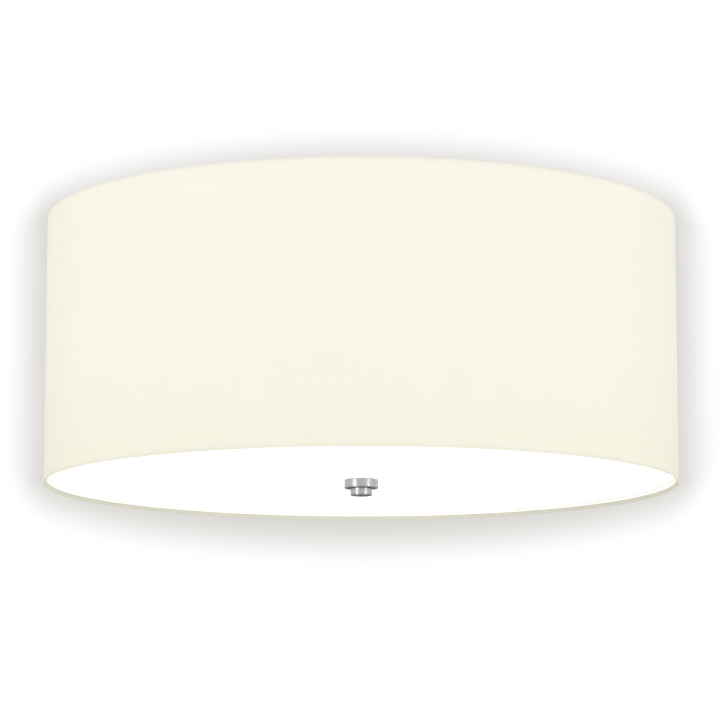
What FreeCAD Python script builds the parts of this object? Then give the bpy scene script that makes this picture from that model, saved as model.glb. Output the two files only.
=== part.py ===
import FreeCAD, Part
import math
import os

# Flush mount ceiling light: a large fabric drum on a wire carrier under a ceiling pan, three lampholders
# lying flat inside it, and an opal disc held up by a threaded rod and a two-tier finial.
# Millimetres. The origin is on the ceiling, at the centre of the mounting bracket. +Z points up into the
# ceiling and the light hangs below zero. +X is to the right as seen from the front, +Y points to the back.

os.makedirs("parts", exist_ok=True)

# ---- clearances and fits ---------------------------------------------------------------------------
glue_line = 0.1             # between glued or pushed-in layers
thread_gap = 0.05           # radial, male thread in female thread
hole_gap = 0.25             # radial, screw in a plain hole
seat_gap = 0.3              # between pieces that come apart and do not rest flat on each other
weld_bite = 0.4             # how far a welded wire is pressed into its neighbour

# ---- mounting bracket and its studs ----------------------------------------------------------------
bracket_width = 25.0
bracket_sheet = 2.0
bracket_step = 6.0          # the end tabs lie this far below the ceiling
bracket_slope = 6.0         # length of the sloping part between the middle and a tab
tab_inner_reach = 10.0      # from a stud's axis to the start of the slope
tab_outer_reach = 11.0      # from a stud's axis to the end of the bracket
bracket_corner = 5.0
cable_hole_diameter = 14.0
slot_spacing = 76.0
slot_length = 22.0
slot_width = 5.5
stud_spacing = 150.0
stud_diameter = 4.0
stud_head_diameter = 8.0
stud_head_height = 2.4
stud_overhang = 4.4         # stud below the pan, inside the dome nut
dome_nut_flats = 7.0
dome_nut_hex_height = 3.4
dome_nut_height = 8.0
dome_nut_bore_depth = 5.2
nut_face_share = 0.96       # a nut's bevelled face against its width across flats

# ---- ceiling pan -----------------------------------------------------------------------------------
pan_diameter = 240.0
pan_depth = 28.0            # from the ceiling to the floor of the pan
pan_sheet = 1.2
pan_corner = 8.0

# ---- mains terminal block and earth point ----------------------------------------------------------
block_setback = 52.0        # block's centre in front of the rod
pole_count = 3
pole_pitch = 10.0
pole_wall = 2.2
block_length = 20.0         # along the wires
block_corner = 1.0
block_height = 13.0
channel_floor = 3.0
channel_height = 6.0
clamp_length = 14.0
clamp_bore_diameter = 4.4
clamp_screw_diameter = 3.4
clamp_screw_offset = 4.0
clamp_screw_recess = 0.6
foot_diameter = 4.0
foot_barb_diameter = 5.4
foot_barb_height = 2.0
screw_slot_width = 0.8
screw_slot_depth = 0.9
earth_x = 36.0
earth_y = -58.0
earth_screw_diameter = 4.0
earth_head_diameter = 8.0
earth_head_height = 2.4
earth_screw_tail = 2.6
tag_sheet = 0.8
tag_diameter = 8.4
tag_barrel_length = 8.0
tag_barrel_reach = 6.0      # from the screw's axis to the barrel
tag_barrel_wall = 0.5
tag_overlap = 1.0           # strip under the barrel, and lead inside it

# ---- leads -----------------------------------------------------------------------------------------
lead_diameter = 2.2
lead_spacing = 2.4          # between the leads in one pole
pair_spacing = 3.0          # between the two leads of one lampholder
lead_end_gap = 0.3
lead_mouth_run = 8.0        # straight out of the terminal block
live_level = -16.0          # height at which the live leads cross
neutral_level = -12.0       # height at which the neutral leads cross
grommet_radius = 27.0       # grommet's axis from the rod
grommet_bore_diameter = 7.0
grommet_neck_wall = 1.2
grommet_flange = 2.0        # flange's height, and how far it reaches past the hole
lead_dive = 6.5             # the leads turn down this far before the grommet
lead_bow = 2.5              # the leads hang this much towards the rod, halfway down
lead_sweep = 12.0           # height and reach of their turn into the lampholder

# ---- centre rod and its nuts -----------------------------------------------------------------------
rod_diameter = 10.0
rod_bore_diameter = 7.5
rod_top_overhang = 3.5      # above the upper nut
rod_nut_flats = 14.0
rod_nut_height = 4.0
lock_washer_diameter = 19.0
lock_washer_sheet = 1.0
lock_tooth_count = 12
lock_tooth_depth = 1.6
lock_tooth_width = 1.2

# ---- lampholders -----------------------------------------------------------------------------------
holder_angles = (90.0, 210.0, 330.0)
holder_drop = 75.0          # lampholder's axis below the ceiling
holder_reach = 44.0         # from the rod's axis to the angle plate
plate_width = 24.0
plate_sheet = 1.5
plate_foot = 36.0           # length of the leg under the pan
plate_bend = 3.0
rivet_diameter = 4.0
rivet_spacing = 14.0
rivet_head_diameter = 8.0
rivet_head_height = 1.2
rivet_tail_diameter = 5.8
rivet_tail_height = 2.6
rivet_round = 1.0
nipple_diameter = 10.0
nipple_bore_diameter = 8.0
nipple_inside = 9.5         # nipple's length inside the dome
nipple_overhang = 1.5
nipple_nut_flats = 14.0
nipple_nut_height = 3.5
holder_diameter = 40.0
holder_wall = 2.2
dome_length = 18.0
dome_boss_wall = 3.5
dome_boss_length = 10.0
dome_flat_diameter = 24.0
dome_shoulder = 8.1         # length of the dome's sloping part
dome_flat_round = 2.0
dome_shoulder_round = 6.0
barrel_length = 38.0
barrel_step = 1.2           # the skirt is this much slimmer than the collar behind it
barrel_collar_length = 3.0
barrel_round = 1.0
terminal_room = 5.5         # hollow behind the partition
partition_thickness = 4.0
shell_length = 26.0
shell_sheet = 0.4
contact_width = 6.0
contact_sheet = 0.5
contact_rise = 2.7          # contact's face in front of the partition
contact_tail = 9.0          # from the axis to the tongue's lower end
contact_flat = 5.0          # length of the tongue's fixed end

# ---- bulbs -----------------------------------------------------------------------------------------
bulb_contact_diameter = 9.0
bulb_contact_height = 1.3
bulb_contact_round = 0.6
insulator_diameter = 19.0
insulator_cone = 3.2
insulator_height = 6.6      # from the bulb's tip to the insulator's back
cap_diameter = 26.4
cap_sheet = 0.6
cap_shoulder = 5.4          # from the bulb's tip to the cap's first turn
cap_length = 27.0           # from the bulb's tip to the end of the cap
knuckle_pitch = 3.6
knuckle_depth = 0.6
housing_neck_length = 7.0
housing_wall = 1.5
housing_rim_length = 38.0
housing_throat = 0.8        # the housing is this much wider than the cap where they meet
housing_waist_at = 11.4     # from the cap to the start of the flare
housing_waist = 1.7         # the waist is this much wider than the throat
housing_rim_band = 6.0
housing_flare_round = 20.0
housing_rim_round = 8.0
globe_diameter = 60.0
globe_wall = 1.0
globe_rise = 14.0           # from the housing's rim to the globe's centre
globe_neck_length = 5.0

# ---- shade and its carrier -------------------------------------------------------------------------
shade_diameter = 600.0
shade_height = 254.0
shade_top_gap = 3.0         # from the ceiling to the shade's top edge
fabric_thickness = 1.0
fabric_edge = 0.4
seam_width = 12.0
seam_thickness = 0.5
lining_thickness = 0.5
edge_reveal = 3.5           # cloth that shows past the lining and the rings
top_wire_diameter = 5.0
arm_count = 3
first_arm_angle = 30.0
arm_wire_diameter = 5.0
arm_bend_radius = 14.0
arm_weld_length = 12.0      # arm's length under the hub
hub_width = 18.0
hub_sheet = 2.0
hub_stud_circle = 190.0
hub_stud_offset = 30.0      # angle from an arm to its stud
hub_stud_diameter = 5.0
hub_stud_head_diameter = 11.0
hub_stud_head_height = 2.5
hub_stud_overhang = 1.5
thumb_nut_diameter = 16.0
thumb_nut_grip = 7.0
thumb_nut_neck_diameter = 10.0
thumb_nut_neck = 3.0
thumb_nut_groove_count = 20
thumb_nut_groove_diameter = 1.2
thumb_nut_round = 0.8
ring_sheet = 1.5
ring_lip_width = 9.0

# ---- diffuser and finial ---------------------------------------------------------------------------
diffuser_thickness = 3.0
diffuser_recess = 7.0       # from the shade's bottom edge up to the disc's underside
diffuser_edge_gap = 1.3
diffuser_edge_round = 0.5
diffuser_hole_gap = 0.5
cushion_height = 1.0
cushion_diameter = 28.0
stop_washer_sheet = 1.5
stop_washer_diameter = 30.0
stop_nut_flats = 14.0
stop_nut_height = 4.0
collar_diameter = 32.0
collar_height = 8.5
collar_round = 1.0
collar_edge_chamfer = 0.6
collar_cushion_diameter = 24.0
collar_cushion_height = 1.2
collar_rod_gap = 0.4
collar_roof = 2.1           # metal between the collar's top and the hollow for the cap's neck
cap_nut_diameter = 20.5
cap_nut_height = 6.8
cap_nut_round = 0.8
cap_neck_diameter = 14.0
cap_neck_length = 6.1
cap_floor = 1.6
rod_end_gap = 0.4

# ---- places worked out from the sizes above --------------------------------------------------------
pan_floor = -pan_depth
pan_underside = pan_floor - pan_sheet
shade_radius = shade_diameter / 2
shade_top = -shade_top_gap
shade_bottom = shade_top - shade_height
fabric_inner = shade_radius - fabric_thickness
lining_outer = fabric_inner - glue_line
lining_inner = lining_outer - lining_thickness
ring_outer = lining_inner - glue_line
ring_inner = ring_outer - ring_sheet
hub_underside = pan_underside - hub_sheet
hub_outer = hub_stud_circle / 2 + hub_width / 2
hub_inner = hub_stud_circle / 2 - hub_width / 2
diffuser_underside = shade_bottom + diffuser_recess
diffuser_top = diffuser_underside + diffuser_thickness
diffuser_radius = ring_inner - diffuser_edge_gap
collar_top = diffuser_underside - seat_gap
collar_bottom = collar_top - collar_height
cap_nut_bottom = collar_bottom - cap_nut_height
cap_bore_end = cap_nut_bottom + cap_floor
rod_bottom = cap_bore_end + rod_end_gap
rod_top = pan_floor + rod_nut_height + rod_top_overhang
plate_front = holder_reach + plate_sheet
dome_end = plate_front + dome_length
partition_back = dome_end + terminal_room
partition_front = partition_back + partition_thickness
barrel_end = dome_end + barrel_length
bulb_tip = partition_front + contact_rise + seat_gap
block_floor = pan_floor + channel_floor
lead_start_y = -block_setback + clamp_length / 2 + glue_line
lead_start_z = block_floor + channel_height / 2
live_pole_x = -pole_pitch
rivet_first = plate_front + (plate_foot - plate_sheet - rivet_spacing) / 2
arm_angles = [first_arm_angle + 360.0 / arm_count * index for index in range(arm_count)]
hub_stud_angles = [angle + hub_stud_offset for angle in arm_angles]

origin = FreeCAD.Vector(0, 0, 0)
x_axis = FreeCAD.Vector(1, 0, 0)
y_axis = FreeCAD.Vector(0, 1, 0)
z_axis = FreeCAD.Vector(0, 0, 1)


# ---- shape helpers ---------------------------------------------------------------------------------
def rounded_wire(corners, closed=True):
    """Straight runs through (x, y, z, radius) corners, joined by tangent arcs where a radius is given."""
    count = len(corners)
    arrivals = []
    departures = []
    edges = []
    arcs = []
    for index, (x, y, z, radius) in enumerate(corners):
        corner = FreeCAD.Vector(x, y, z)
        if radius == 0:
            arrivals.append(corner)
            departures.append(corner)
            arcs.append(None)
            continue
        before = (FreeCAD.Vector(*corners[index - 1][:3]) - corner).normalize()
        after = (FreeCAD.Vector(*corners[(index + 1) % count][:3]) - corner).normalize()
        half_angle = before.getAngle(after) / 2
        reach = radius / math.tan(half_angle)
        depth = radius / math.sin(half_angle) - radius
        arrivals.append(corner + before * reach)
        departures.append(corner + after * reach)
        middle = corner + (before + after).normalize() * depth
        arcs.append(Part.Arc(arrivals[-1], middle, departures[-1]).toShape())
    for index in range(count):
        if arcs[index]:
            edges.append(arcs[index])
        follower = (index + 1) % count
        if not closed and index == count - 1:
            break
        if departures[index].distanceToPoint(arrivals[follower]) > 1e-6:
            edges.append(Part.LineSegment(departures[index], arrivals[follower]).toShape())
    return Part.Wire(edges)


def turned(profile):
    """Solid of revolution about Z from (radius, height) or (radius, height, rounding) corners."""
    corners = [(p[0], 0, p[1], p[2] if len(p) > 2 else 0) for p in profile]
    return Part.Face(rounded_wire(corners)).revolve(origin, z_axis, 360)


def plate_xy(corners, bottom, top):
    """Flat plate between two heights from (x, y) or (x, y, rounding) corners."""
    outline = [(p[0], p[1], bottom, p[2] if len(p) > 2 else 0) for p in corners]
    return Part.Face(rounded_wire(outline)).extrude(z_axis * (top - bottom))


def slab(length, width, corner, bottom, top):
    """Centred rectangular plate with rounded corners."""
    spots = ((-1, -1), (1, -1), (1, 1), (-1, 1))
    return plate_xy([(x * length / 2, y * width / 2, corner) for x, y in spots], bottom, top)


def strip_xz(corners, width):
    """Bent strip, centred on Y, from (x, z) or (x, z, rounding) corners of its side view."""
    outline = [(p[0], -width / 2, p[1], p[2] if len(p) > 2 else 0) for p in corners]
    return Part.Face(rounded_wire(outline)).extrude(y_axis * width)


def rod(radius, bottom, top, x=0, y=0):
    return Part.makeCylinder(radius, top - bottom, FreeCAD.Vector(x, y, bottom))


def ring(inner_radius, outer_radius, bottom, top):
    return rod(outer_radius, bottom, top).cut(rod(inner_radius, bottom, top))


def block(low, high):
    return Part.makeBox(*[high[i] - low[i] for i in range(3)], FreeCAD.Vector(*low))


def slot_hole(x, length, width, bottom, top):
    """Round-ended slot along X."""
    half = length / 2 - width / 2
    middle = block((x - half, -width / 2, bottom), (x + half, width / 2, top))
    return middle.fuse([rod(width / 2, bottom, top, x - half), rod(width / 2, bottom, top, x + half)])


def hex_nut(across_flats, height, bore_radius):
    """Hexagon nut with bevelled corners, its base at zero."""
    corner_radius = across_flats / 2 / math.cos(math.pi / 6)
    flat_radius = across_flats / 2 * nut_face_share
    bevel = (corner_radius - flat_radius) * math.tan(math.pi / 6)
    points = [60 * index for index in range(6)]
    hexagon = plate_xy([on_circle(corner_radius, angle) for angle in points], 0, height)
    barrel = turned([(0, 0), (flat_radius, 0), (corner_radius, bevel), (corner_radius, height - bevel),
                     (flat_radius, height), (0, height)])
    return hexagon.common(barrel).cut(rod(bore_radius, 0, height))


def headed_pin(shank_radius, length, head_radius, head_height):
    """Round-headed pin that points down, with the underside of its head at zero."""
    return turned([(0, head_height), (head_radius, head_height, head_height * 0.6), (head_radius, 0),
                   (shank_radius, 0), (shank_radius, -length), (0, -length)])


def screw_slot(head_radius, top):
    return block((-head_radius, -screw_slot_width / 2, top - screw_slot_depth),
                 (head_radius, screw_slot_width / 2, top))


def on_circle(radius, angle):
    return radius * math.cos(math.radians(angle)), radius * math.sin(math.radians(angle))


def moved(shape, x=0, y=0, z=0):
    return shape.translated(FreeCAD.Vector(x, y, z))


def turned_about_z(shape, angle):
    return shape.rotated(origin, z_axis, angle)


def laid_out(shape):
    """Lays a shape made along Z on the lampholders' level, pointing out along +X."""
    return moved(shape.rotated(origin, y_axis, 90), z=-holder_drop)


def holder_point(out, side, height, angle):
    """Point given along a lampholder's direction, across it, and in height."""
    along = math.radians(angle)
    x = out * math.cos(along) - side * math.sin(along)
    y = out * math.sin(along) + side * math.cos(along)
    return x, y, height


def lead(points, name):
    """Insulated wire through the points; every arc takes 0.45 of the shorter run beside it."""
    vectors = [FreeCAD.Vector(*point) for point in points]
    corners = [(*points[0], 0)]
    radii = []
    for before, corner, after in zip(vectors, vectors[1:], vectors[2:]):
        shorter_run = min(before.distanceToPoint(corner), corner.distanceToPoint(after))
        half_turn = (corner - before).getAngle(after - corner) / 2
        radii.append(0.45 * shorter_run / math.tan(half_turn))
        corners.append((*corner, radii[-1]))
    corners.append((*points[-1], 0))
    path = rounded_wire(corners, closed=False)
    start = Part.makeCircle(lead_diameter / 2, vectors[0], vectors[1] - vectors[0])
    tube = path.makePipeShell([Part.Wire(start)], True, False)
    section = math.pi * (lead_diameter / 2) ** 2
    print(f"{name}: length {path.Length:.1f}, tightest arc {min(radii):.1f},"
          f" volume over section times length {tube.Volume / (section * path.Length):.4f}")
    return tube


def knuckle_thread(start, end, crest, root):
    """Wavy (radius, height) corners of a rolled lamp thread, from start to end."""
    turns = int((end - start) / knuckle_pitch)
    step = (end - start) / turns
    rounding = knuckle_pitch / 5
    corners = []
    for index in range(turns):
        corners.append((root, start + step * index + step * 0.25, rounding))
        corners.append((crest, start + step * index + step * 0.75, rounding))
    return corners


def save(name, *solids):
    for solid in solids:
        if not solid.isValid() or solid.Volume <= 0:
            print("not a sound solid:", name)
    shape = solids[0] if len(solids) == 1 else Part.makeCompound(list(solids))
    shape.exportStep(f"parts/{name}.step")


# ---- mounting bracket: a stepped steel strip, slotted for two ceiling screws -----------------------
tab_start = stud_spacing / 2 - tab_inner_reach
middle_end = tab_start - bracket_slope
bracket_end = stud_spacing / 2 + tab_outer_reach
upper_line = [(-bracket_end, -bracket_step), (-tab_start, -bracket_step), (-middle_end, 0),
              (middle_end, 0), (tab_start, -bracket_step), (bracket_end, -bracket_step)]
lower_line = [(x, z - bracket_sheet) for x, z in reversed(upper_line)]
bracket_outline = slab(bracket_end * 2, bracket_width, bracket_corner, -bracket_step - bracket_sheet, 0)
bracket = strip_xz(upper_line + lower_line, bracket_width).common(bracket_outline)
bracket = bracket.cut(rod(cable_hole_diameter / 2, -bracket_sheet, 0))
for side in (-1, 1):
    bracket = bracket.cut(slot_hole(side * slot_spacing / 2, slot_length, slot_width, -bracket_sheet, 0))
    bracket = bracket.cut(rod(stud_diameter / 2 + thread_gap, -bracket_step - bracket_sheet, -bracket_step,
                              side * stud_spacing / 2))
save("mounting_bracket", bracket)

stud_length = pan_depth + pan_sheet + stud_overhang - bracket_step
stud = headed_pin(stud_diameter / 2, stud_length, stud_head_diameter / 2, stud_head_height)
stud = stud.cut(screw_slot(stud_head_diameter / 2, stud_head_height))
save("bracket_studs", *[moved(stud, side * stud_spacing / 2, 0, -bracket_step) for side in (-1, 1)])

dome_radius = dome_nut_flats / 2 * nut_face_share
dome_blank = turned([(0, 0), (dome_radius, 0), (dome_radius, -dome_nut_height, dome_radius * 0.9),
                     (0, -dome_nut_height)])
dome_nut = moved(hex_nut(dome_nut_flats, dome_nut_hex_height, dome_radius / 2), z=-dome_nut_hex_height)
dome_nut = dome_nut.fuse(dome_blank).removeSplitter()
dome_nut = dome_nut.cut(rod(stud_diameter / 2 + thread_gap, -dome_nut_bore_depth, 0))
save("stud_cap_nuts", *[moved(dome_nut, side * stud_spacing / 2, 0, pan_underside) for side in (-1, 1)])

# ---- ceiling pan: a pressed dish, open towards the ceiling, that covers the wiring ------------------
pan_radius = pan_diameter / 2
pan = turned([(0, pan_floor), (pan_radius - pan_sheet, pan_floor, pan_corner - pan_sheet),
              (pan_radius - pan_sheet, 0), (pan_radius, 0), (pan_radius, pan_underside, pan_corner),
              (0, pan_underside)])
grommet_hole = grommet_bore_diameter / 2 + grommet_neck_wall
pan_holes = [(0, 0, rod_diameter / 2 + hole_gap),
             (0, -block_setback, foot_diameter / 2 + hole_gap),
             (earth_x, earth_y, earth_screw_diameter / 2 + thread_gap)]
pan_holes += [(side * stud_spacing / 2, 0, stud_diameter / 2 + hole_gap) for side in (-1, 1)]
pan_holes += [(*on_circle(hub_stud_circle / 2, angle), hub_stud_diameter / 2 + hole_gap)
              for angle in hub_stud_angles]
for angle in holder_angles:
    pan_holes.append((*on_circle(grommet_radius, angle), grommet_hole))
    for reach in (rivet_first, rivet_first + rivet_spacing):
        pan_holes.append((*on_circle(reach, angle), rivet_diameter / 2 + glue_line))
pan = pan.cut([rod(radius, pan_underside, pan_floor, x, y) for x, y, radius in pan_holes])
save("ceiling_pan", pan)

# ---- mains terminal block: moulded housing with a snap foot, clamp sleeves and their screws --------
channel_width = pole_pitch - pole_wall
block_half = (pole_count - 1) / 2 * pole_pitch + channel_width / 2 + pole_wall
pole_places = [(index - (pole_count - 1) / 2) * pole_pitch for index in range(pole_count)]
screw_places = [(x, side * clamp_screw_offset) for x in pole_places for side in (-1, 1)]
block_top = pan_floor + block_height
channel_top = block_floor + channel_height
housing = slab(block_half * 2, block_length, block_corner, pan_floor, block_top)
foot = turned([(0, pan_floor), (foot_diameter / 2, pan_floor),
               (foot_diameter / 2, pan_underside - glue_line),
               (foot_barb_diameter / 2, pan_underside - glue_line),
               (foot_diameter / 2, pan_underside - foot_barb_height),
               (0, pan_underside - foot_barb_height)])
housing = housing.fuse(foot)
for x in pole_places:
    housing = housing.cut(block((x - channel_width / 2, -block_length / 2, block_floor),
                                (x + channel_width / 2, block_length / 2, channel_top)))
for x, y in screw_places:
    housing = housing.cut(rod(clamp_screw_diameter / 2 + hole_gap, channel_top, block_top, x, y))
save("terminal_block", moved(housing, y=-block_setback))

clamps = []
for x in pole_places:
    half_width = channel_width / 2 - glue_line
    sleeve = block((x - half_width, -clamp_length / 2, block_floor + glue_line),
                   (x + half_width, clamp_length / 2, channel_top - glue_line))
    bore = Part.makeCylinder(clamp_bore_diameter / 2, clamp_length,
                             FreeCAD.Vector(x, -clamp_length / 2, lead_start_z), y_axis)
    clamps.append(moved(sleeve.cut(bore), y=-block_setback))
save("terminal_clamps", *clamps)

clamp_screw_height = block_top - clamp_screw_recess - channel_top + glue_line
clamp_screw = rod(clamp_screw_diameter / 2, 0, clamp_screw_height)
clamp_screw = clamp_screw.cut(screw_slot(clamp_screw_diameter / 2, clamp_screw_height))
save("terminal_screws", *[moved(clamp_screw, x, y - block_setback, channel_top - glue_line)
                          for x, y in screw_places])

# ---- earth point: a ring tag under a screw in the pan's floor --------------------------------------
tag_bore_radius = lead_diameter / 2 + glue_line
tag_barrel_radius = tag_bore_radius + tag_barrel_wall
tag_top = pan_floor + tag_sheet
tag_barrel_z = pan_floor + tag_barrel_radius
tag_hole = rod(earth_screw_diameter / 2 + hole_gap, pan_floor, tag_top)
tag = rod(tag_diameter / 2, pan_floor, tag_top)
tag = tag.fuse(block((-tag_barrel_radius, 0, pan_floor),
                     (tag_barrel_radius, tag_barrel_reach + tag_overlap, tag_top)))
tag = tag.fuse(Part.makeCylinder(tag_barrel_radius, tag_barrel_length,
                                 FreeCAD.Vector(0, tag_barrel_reach, tag_barrel_z), y_axis))
tag = tag.cut(Part.makeCylinder(tag_bore_radius, tag_barrel_length,
                                FreeCAD.Vector(0, tag_barrel_reach, tag_barrel_z), y_axis))
save("earth_tag", moved(tag.cut(tag_hole).removeSplitter(), earth_x, earth_y))

earth_length = tag_sheet + pan_sheet + earth_screw_tail
earth_screw = headed_pin(earth_screw_diameter / 2, earth_length, earth_head_diameter / 2, earth_head_height)
earth_screw = earth_screw.cut(screw_slot(earth_head_diameter / 2, earth_head_height))
save("earth_screw", moved(earth_screw, earth_x, earth_y, tag_top))

# ---- grommets and leads: three pairs from the block down to the lampholders, and one earth lead ----
flange_radius = grommet_hole + grommet_flange
neck_radius = grommet_hole - glue_line
bore_radius = grommet_bore_diameter / 2
flange_round = grommet_flange * 0.4
grommet = turned([(bore_radius, pan_floor + grommet_flange, flange_round),
                  (flange_radius, pan_floor + grommet_flange, flange_round), (flange_radius, pan_floor),
                  (neck_radius, pan_floor), (neck_radius, pan_underside), (flange_radius, pan_underside),
                  (flange_radius, pan_underside - grommet_flange, flange_round),
                  (bore_radius, pan_underside - grommet_flange, flange_round)])
save("lead_grommets", *[moved(grommet, *on_circle(grommet_radius, angle)) for angle in holder_angles])


def lead_from_grommet(angle, side, approach, level):
    """Points from just before a grommet, down through it and out into the lampholder's nipple."""
    hole = holder_point(grommet_radius, side, 0, angle)
    run = math.hypot(hole[0] - approach[0], hole[1] - approach[1])
    before = [hole[i] + (approach[i] - hole[i]) * lead_dive / run for i in range(2)]
    bend_top = lead_sweep - holder_drop
    return [(before[0], before[1], level),
            (hole[0], hole[1], level - lead_dive),
            holder_point(grommet_radius - lead_bow, side, (pan_floor + bend_top) / 2, angle),
            holder_point(grommet_radius, side, bend_top, angle),
            holder_point(grommet_radius + lead_sweep, side, -holder_drop, angle),
            holder_point(partition_back - lead_end_gap, side, -holder_drop, angle)]


# by hand, for the live leads; the neutral ones mirror them, with their own height where they cross
back_route = [(-11.5, -28.5), (-15, -13), (-13.5, 5)]
left_route = [(-14.5, -30)]
right_route = [(-5, -29), (2, -19.5), (9.5, -12)]
routes = {90.0: back_route, 210.0: left_route, 330.0: right_route}
mirrored_angle = {90.0: 90.0, 210.0: 330.0, 330.0: 210.0}
start_shift = {90.0: 0, 210.0: -lead_spacing, 330.0: lead_spacing}

live = []
neutral = []
for angle in holder_angles:
    start_x = live_pole_x + start_shift[angle]
    half_pair = pair_spacing / 2
    way = routes[angle]
    for mirror, level, made, name in ((1, live_level, live, "live lead"),
                                      (-1, neutral_level, neutral, "neutral lead")):
        end_angle = angle if mirror == 1 else mirrored_angle[angle]
        points = [(mirror * start_x, lead_start_y, lead_start_z),
                  (mirror * start_x, lead_start_y + lead_mouth_run, lead_start_z)]
        points += [(mirror * x, y, level) for x, y in way]
        points += lead_from_grommet(end_angle, mirror * half_pair, (mirror * way[-1][0], way[-1][1]), level)
        made.append(lead(points, name))
save("live_leads", *live)
save("neutral_leads", *neutral)

tag_mouth = earth_y + tag_barrel_reach + tag_barrel_length
earth_level = tag_barrel_z + lead_diameter / 4
earth_points = [(0, lead_start_y, lead_start_z), (0, lead_start_y + lead_mouth_run, lead_start_z),
                (5, -28.5, earth_level), (17, -24, earth_level), (30, -28, earth_level),
                (earth_x, tag_mouth + lead_dive, tag_barrel_z),
                (earth_x, tag_mouth - tag_barrel_length + tag_overlap, tag_barrel_z)]
save("earth_lead", lead(earth_points, "earth lead"))

# ---- centre rod: hollow threaded rod from the pan down to the finial, with its nuts -----------------
save("centre_rod", ring(rod_bore_diameter / 2, rod_diameter / 2, rod_bottom, rod_top))

female_radius = rod_diameter / 2 + thread_gap
rod_nut = hex_nut(rod_nut_flats, rod_nut_height, female_radius)
washer_underside = pan_underside - lock_washer_sheet
save("rod_nuts", moved(rod_nut, z=pan_floor), moved(rod_nut, z=washer_underside - rod_nut_height))

lock_washer = ring(rod_diameter / 2 + hole_gap, lock_washer_diameter / 2, washer_underside, pan_underside)
tooth_gap = block((lock_washer_diameter / 2 - lock_tooth_depth, -lock_tooth_width / 2, washer_underside),
                  (lock_washer_diameter / 2 + 1, lock_tooth_width / 2, pan_underside))
gaps = [turned_about_z(tooth_gap, 360 / lock_tooth_count * index) for index in range(lock_tooth_count)]
save("rod_lock_washer", lock_washer.cut(gaps))

# ---- lampholders: angle plate, nipple and nut, dome, barrel, threaded shell and sprung contact -----
plate_bottom = -holder_drop - plate_width / 2
plate_side = strip_xz([(holder_reach, pan_underside, plate_bend),
                       (holder_reach + plate_foot, pan_underside),
                       (holder_reach + plate_foot, pan_underside - plate_sheet),
                       (plate_front, pan_underside - plate_sheet, plate_bend - plate_sheet),
                       (plate_front, plate_bottom), (holder_reach, plate_bottom)], plate_width)
round_end = Part.makeCylinder(plate_width / 2, plate_foot, FreeCAD.Vector(holder_reach, 0, -holder_drop),
                              x_axis)
square_part = block((holder_reach, -plate_width / 2, -holder_drop),
                    (holder_reach + plate_foot, plate_width / 2, pan_underside))
plate = plate_side.common(round_end.fuse(square_part))
plate = plate.cut(laid_out(rod(nipple_diameter / 2 + hole_gap, holder_reach, plate_front)))
rivet_places = (rivet_first, rivet_first + rivet_spacing)
rivet_low = pan_underside - plate_sheet
for reach in rivet_places:
    plate = plate.cut(rod(rivet_diameter / 2 + glue_line, rivet_low, pan_underside, reach))

rivet_high = pan_floor + rivet_tail_height
rivet = turned([(0, rivet_high), (rivet_tail_diameter / 2, rivet_high, rivet_round),
                (rivet_tail_diameter / 2, pan_floor), (rivet_diameter / 2, pan_floor),
                (rivet_diameter / 2, rivet_low), (rivet_head_diameter / 2, rivet_low),
                (rivet_head_diameter / 2, rivet_low - rivet_head_height, rivet_round),
                (0, rivet_low - rivet_head_height)])

nut_back = holder_reach - nipple_nut_height
nipple = laid_out(ring(nipple_bore_diameter / 2, nipple_diameter / 2, nut_back - nipple_overhang,
                       plate_front + nipple_inside))
nipple_nut = laid_out(moved(hex_nut(nipple_nut_flats, nipple_nut_height, nipple_diameter / 2 + thread_gap),
                            z=nut_back))

holder_radius = holder_diameter / 2
hollow_radius = holder_radius - holder_wall
nipple_hole = nipple_diameter / 2 + thread_gap
boss_radius = nipple_hole + dome_boss_wall
dome_floor = plate_front + holder_wall
shoulder_end = plate_front + dome_shoulder
dome = laid_out(turned([(nipple_hole, plate_front), (dome_flat_diameter / 2, plate_front, dome_flat_round),
                        (holder_radius, shoulder_end, dome_shoulder_round), (holder_radius, dome_end),
                        (hollow_radius, dome_end),
                        (hollow_radius, shoulder_end + holder_wall / 2, dome_shoulder_round - holder_wall),
                        (boss_radius + holder_wall, dome_floor), (boss_radius, dome_floor),
                        (boss_radius, plate_front + dome_boss_length),
                        (nipple_hole, plate_front + dome_boss_length)]))

cap_crest = cap_diameter / 2
shell_root = cap_crest + seat_gap
shell_crest = shell_root + knuckle_depth
barrel_bore = shell_crest + shell_sheet + seat_gap
skirt_radius = holder_radius - barrel_step
collar_end = dome_end + barrel_collar_length
barrel = laid_out(turned([(0, partition_back), (hollow_radius, partition_back, barrel_round),
                          (hollow_radius, dome_end), (holder_radius, dome_end),
                          (holder_radius, collar_end, barrel_step / 2), (skirt_radius, collar_end),
                          (skirt_radius, barrel_end, barrel_round), (barrel_bore, barrel_end, barrel_round),
                          (barrel_bore, partition_front), (0, partition_front)]))

shell_end = partition_front + shell_length
inner_wave = knuckle_thread(partition_front, shell_end, shell_crest, shell_root)
outer_wave = [(radius + shell_sheet, height, rounding) for radius, height, rounding in reversed(inner_wave)]
shell = laid_out(turned([(shell_root, partition_front)] + inner_wave + [(shell_crest, shell_end)]
                        + [(shell_crest + shell_sheet, shell_end)] + outer_wave
                        + [(shell_root + shell_sheet, partition_front)]))

contact_face = partition_front + contact_rise
tongue = strip_xz([(partition_front, -contact_tail), (partition_front, contact_flat - contact_tail),
                   (contact_face - contact_sheet, -contact_width / 3),
                   (contact_face - contact_sheet, contact_width / 2),
                   (contact_face, contact_width / 2), (contact_face, -contact_width / 3),
                   (partition_front + contact_sheet, contact_flat - contact_tail),
                   (partition_front + contact_sheet, -contact_tail)], contact_width)
tongue = moved(tongue, z=-holder_drop)

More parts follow.
